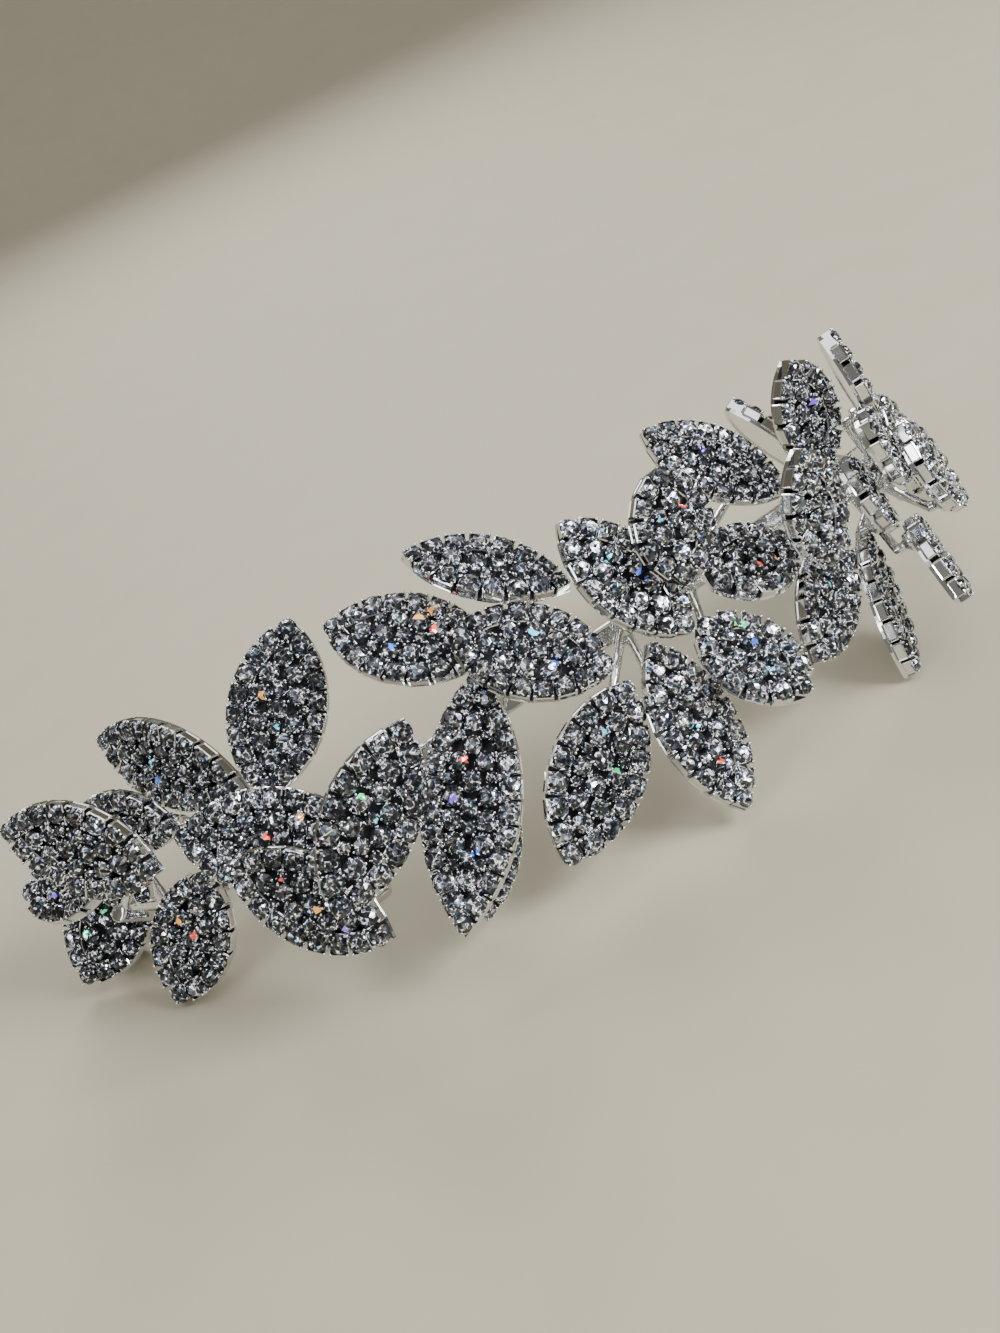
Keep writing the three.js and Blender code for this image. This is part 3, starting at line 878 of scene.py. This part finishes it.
def leaf_shapes(context):
    sizes = context.scene.diadem_leaf
    return {
        "stone": stone_shape(sizes),
        "edge_cup": cup_shape(sizes, sizes.cup, sizes.pitch * CUP_DEPTH),
        "tip_cup": cup_shape(sizes, sizes.tip_cup, sizes.tip_cup),
        "inner_cup": ring_shape(sizes),
        "materials": [
            made_once("polished_silver", silver_metal),
            made_once("recess_silver", painted_shade_metal),
            made_once("cut_stone", cut_stone),
        ],
    }


def build_spray(context, letter):
    """All leaves of one spray."""
    shapes = leaf_shapes(context)
    nodes = [name for name in sorted(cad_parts) if name.startswith(LEAF_PREFIX + letter)]
    if not nodes:
        raise RuntimeError(f"the packed model has no leaves in spray {letter}")
    for name in nodes:
        build_leaf(context, name[len(LEAF_PREFIX):], shapes)
    for key in ("stone", "edge_cup", "tip_cup", "inner_cup"):
        bpy.data.meshes.remove(shapes[key])


class DIADEM_OT_spray_a(bpy.types.Operator):
    """Set the stones of the leaves at the left end"""

    bl_idname = "diadem.spray_a"
    bl_label = "Leaves, left end"

    def execute(self, context):
        build_spray(context, "a")
        return {"FINISHED"}


class DIADEM_OT_spray_b(bpy.types.Operator):
    """Set the stones of the leaves left of the middle"""

    bl_idname = "diadem.spray_b"
    bl_label = "Leaves, left of the middle"

    def execute(self, context):
        build_spray(context, "b")
        return {"FINISHED"}


class DIADEM_OT_spray_c(bpy.types.Operator):
    """Set the stones of the leaves right of the middle"""

    bl_idname = "diadem.spray_c"
    bl_label = "Leaves, right of the middle"

    def execute(self, context):
        build_spray(context, "c")
        return {"FINISHED"}


class DIADEM_OT_spray_d(bpy.types.Operator):
    """Set the stones of the leaves at the right end"""

    bl_idname = "diadem.spray_d"
    bl_label = "Leaves, right end"

    def execute(self, context):
        build_spray(context, "d")
        return {"FINISHED"}


def pad_tops(node):
    """The place of each solder pad's top, found where the metal lies close behind a leaf."""
    points = np.array([vertex.co for vertex in node.data.vertices], float)
    points = np.unique(np.round(points, 6), axis=0)
    tops = []
    for name in sorted(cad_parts):
        if not name.startswith(LEAF_PREFIX):
            continue
        leaf = LeafFrame(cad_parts[name])
        local = (np.c_[points, np.ones(len(points))] @ np.array(leaf.matrix.inverted()).T)[:, :3]
        back = -leaf.arch * (local[:, 0] / leaf.half_length) ** 2
        depth = back - local[:, 2]
        inside = (np.abs(local[:, 0]) < leaf.half_length) & (np.abs(local[:, 1]) < leaf.half_width)
        near = inside & (depth > PAD_NEAREST) & (depth < PAD_FARTHEST)
        if near.sum() >= 3:
            tops.append(leaf.matrix @ Matrix.Translation(Vector(local[near].mean(0))))
    return tops


class DIADEM_OT_carrier(bpy.types.Operator):
    """Flow the solder over the band, posts and wires, up to the back of each leaf"""

    bl_idname = "diadem.carrier"
    bl_label = "Band, posts and wires"

    def execute(self, context):
        sizes = context.scene.diadem_carrier
        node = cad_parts[CARRIER]
        bm = bmesh.new()
        bm.from_mesh(node.data)
        bmesh.ops.remove_doubles(bm, verts=bm.verts[:], dist=WELD)
        flat = Matrix.Diagonal((1, 1, DROP_FLATNESS, 1))
        for top in pad_tops(node):
            bmesh.ops.create_icosphere(bm, subdivisions=2, radius=sizes.drop, matrix=top @ flat)
        mesh = bpy.data.meshes.new("solder_start")
        bm.to_mesh(mesh)
        bm.free()
        piece = bpy.data.objects.new("soldered_carrier", mesh)
        context.scene.collection.objects.link(piece)
        remesh = piece.modifiers.new("flow", "REMESH")
        remesh.mode = "VOXEL"
        remesh.voxel_size = sizes.flow
        remesh.use_smooth_shade = True
        smooth = piece.modifiers.new("smooth", "SMOOTH")
        smooth.factor = SMOOTHING
        smooth.iterations = sizes.rounds
        context.view_layer.update()
        solid = piece.evaluated_get(context.evaluated_depsgraph_get())
        final = bpy.data.meshes.new_from_object(solid)
        piece.modifiers.clear()
        piece.data = final
        final.materials.clear()
        final.materials.append(made_once("polished_silver", silver_metal))
        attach(piece, "root")
        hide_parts(CARRIER)
        return {"FINISHED"}


def softbox(context, name, place, width, power):
    """A square area light that faces the diadem."""
    light = bpy.data.lights.new(name, "AREA")
    light.size = width
    light.energy = power
    lamp = bpy.data.objects.new(name, light)
    lamp.location = place
    lamp.rotation_mode = "QUATERNION"
    lamp.rotation_quaternion = (Vector(LIGHTS_AIM) - Vector(place)).to_track_quat("-Z", "Y")
    context.scene.collection.objects.link(lamp)


def sky_light(context, look):
    """The wide soft light overhead, which leans a little to the back."""
    light = bpy.data.lights.new("sky_light", "SUN")
    light.energy = look.sky_power
    light.angle = look.sky_width
    lamp = bpy.data.objects.new("sky_light", light)
    lamp.location = (0.0, 0.0, SKY_HEIGHT)
    lamp.rotation_euler = (SKY_LEAN, 0.0, 0.0)
    context.scene.collection.objects.link(lamp)


class DIADEM_OT_stage(bpy.types.Operator):
    """Lay the floor, set the lights and place the camera"""

    bl_idname = "diadem.stage"
    bl_label = "Floor, lights and camera"

    def execute(self, context):
        look = context.scene.diadem_stage
        bm = bmesh.new()
        profile = [(-look.front, 0.0), (look.depth, 0.0)]
        for index in range(1, SWEEP_STEPS + 1):
            angle = index / SWEEP_STEPS * math.pi / 2
            profile.append((
                look.depth + look.sweep * math.sin(angle), look.sweep * (1 - math.cos(angle))
            ))
        profile.append((look.depth + look.sweep, look.height))
        line = [bm.verts.new((-look.width, y, z)) for y, z in profile]
        edges = [bm.edges.new(pair) for pair in zip(line, line[1:])]
        made = bmesh.ops.extrude_edge_only(bm, edges=edges)["geom"]
        moved = [item for item in made if isinstance(item, bmesh.types.BMVert)]
        bmesh.ops.translate(bm, vec=(2 * look.width, 0, 0), verts=moved)
        for face in bm.faces:
            face.smooth = True
            if face.normal.z < 0 or face.normal.y > 0:
                face.normal_flip()
        mesh = bpy.data.meshes.new("floor")
        bm.to_mesh(mesh)
        bm.free()
        floor = bpy.data.objects.new("floor", mesh)
        context.scene.collection.objects.link(floor)
        nodes = Nodes("plain_floor")
        grain = nodes.noise(GRAIN_SCALE)
        mesh.materials.append(nodes.finish(
            Base_Color=nodes.mix(grain * 0.25, look.floor, look.floor_worn),
            Roughness=0.7 + grain * 0.15,
        ))
        world = context.scene.world or bpy.data.worlds.new("room")
        context.scene.world = world
        world.use_nodes = True
        background = world.node_tree.nodes["Background"]
        background.inputs["Color"].default_value = (*look.room, 1.0)
        background.inputs["Strength"].default_value = look.room_power
        sky_light(context, look)
        for name, place, width, power in LIGHTS:
            softbox(context, name, place, width, getattr(look, power))
        camera = bpy.data.cameras.new("photo_camera")
        camera.sensor_width = SENSOR
        camera.lens = SENSOR * FOCAL_PIXELS / FRAME_HEIGHT_PIXELS
        camera.clip_start = NEAREST_SEEN
        camera.clip_end = FARTHEST_SEEN
        right = Vector(CAMERA_RIGHT).normalized()
        up = Vector(CAMERA_UP)
        up = (up - right * up.dot(right)).normalized()
        eye = bpy.data.objects.new("photo_camera", camera)
        eye.matrix_world = Matrix.Translation(Vector(CAMERA_PLACE) * MM) @ (
            Matrix((right, up, right.cross(up))).transposed().to_4x4()
        )
        context.scene.collection.objects.link(eye)
        context.scene.camera = eye
        return {"FINISHED"}


GROUPS = {
    "diadem_leaf": DIADEM_PG_leaf,
    "diadem_carrier": DIADEM_PG_carrier,
    "diadem_finish": DIADEM_PG_finish,
    "diadem_stage": DIADEM_PG_stage,
}
OPERATORS = (
    DIADEM_OT_carrier,
    DIADEM_OT_spray_a,
    DIADEM_OT_spray_b,
    DIADEM_OT_spray_c,
    DIADEM_OT_spray_d,
    DIADEM_OT_stage,
)


class DIADEM_PT_panel(bpy.types.Panel):
    """Lists the diadem's sizes, colours and steps."""

    bl_idname = "DIADEM_PT_panel"
    bl_label = "Leaf diadem"
    bl_space_type = "VIEW_3D"
    bl_region_type = "UI"
    bl_category = "Diadem"

    def draw(self, context):
        layout = self.layout
        for name, group in GROUPS.items():
            box = layout.box()
            for field in group.__annotations__:
                box.prop(getattr(context.scene, name), field)
        for operator in OPERATORS:
            layout.operator(operator.bl_idname)


def register():
    for group in GROUPS.values():
        bpy.utils.register_class(group)
    for name, group in GROUPS.items():
        setattr(bpy.types.Scene, name, PointerProperty(type=group))
    for operator in OPERATORS:
        bpy.utils.register_class(operator)
    bpy.utils.register_class(DIADEM_PT_panel)


def unregister():
    bpy.utils.unregister_class(DIADEM_PT_panel)
    for operator in reversed(OPERATORS):
        bpy.utils.unregister_class(operator)
    for name in GROUPS:
        delattr(bpy.types.Scene, name)
    for group in reversed(GROUPS.values()):
        bpy.utils.unregister_class(group)


def main():
    register()
    for operator in OPERATORS:
        family, step = operator.bl_idname.split(".")
        getattr(getattr(bpy.ops, family), step)()


if __name__ == "__main__":
    main()
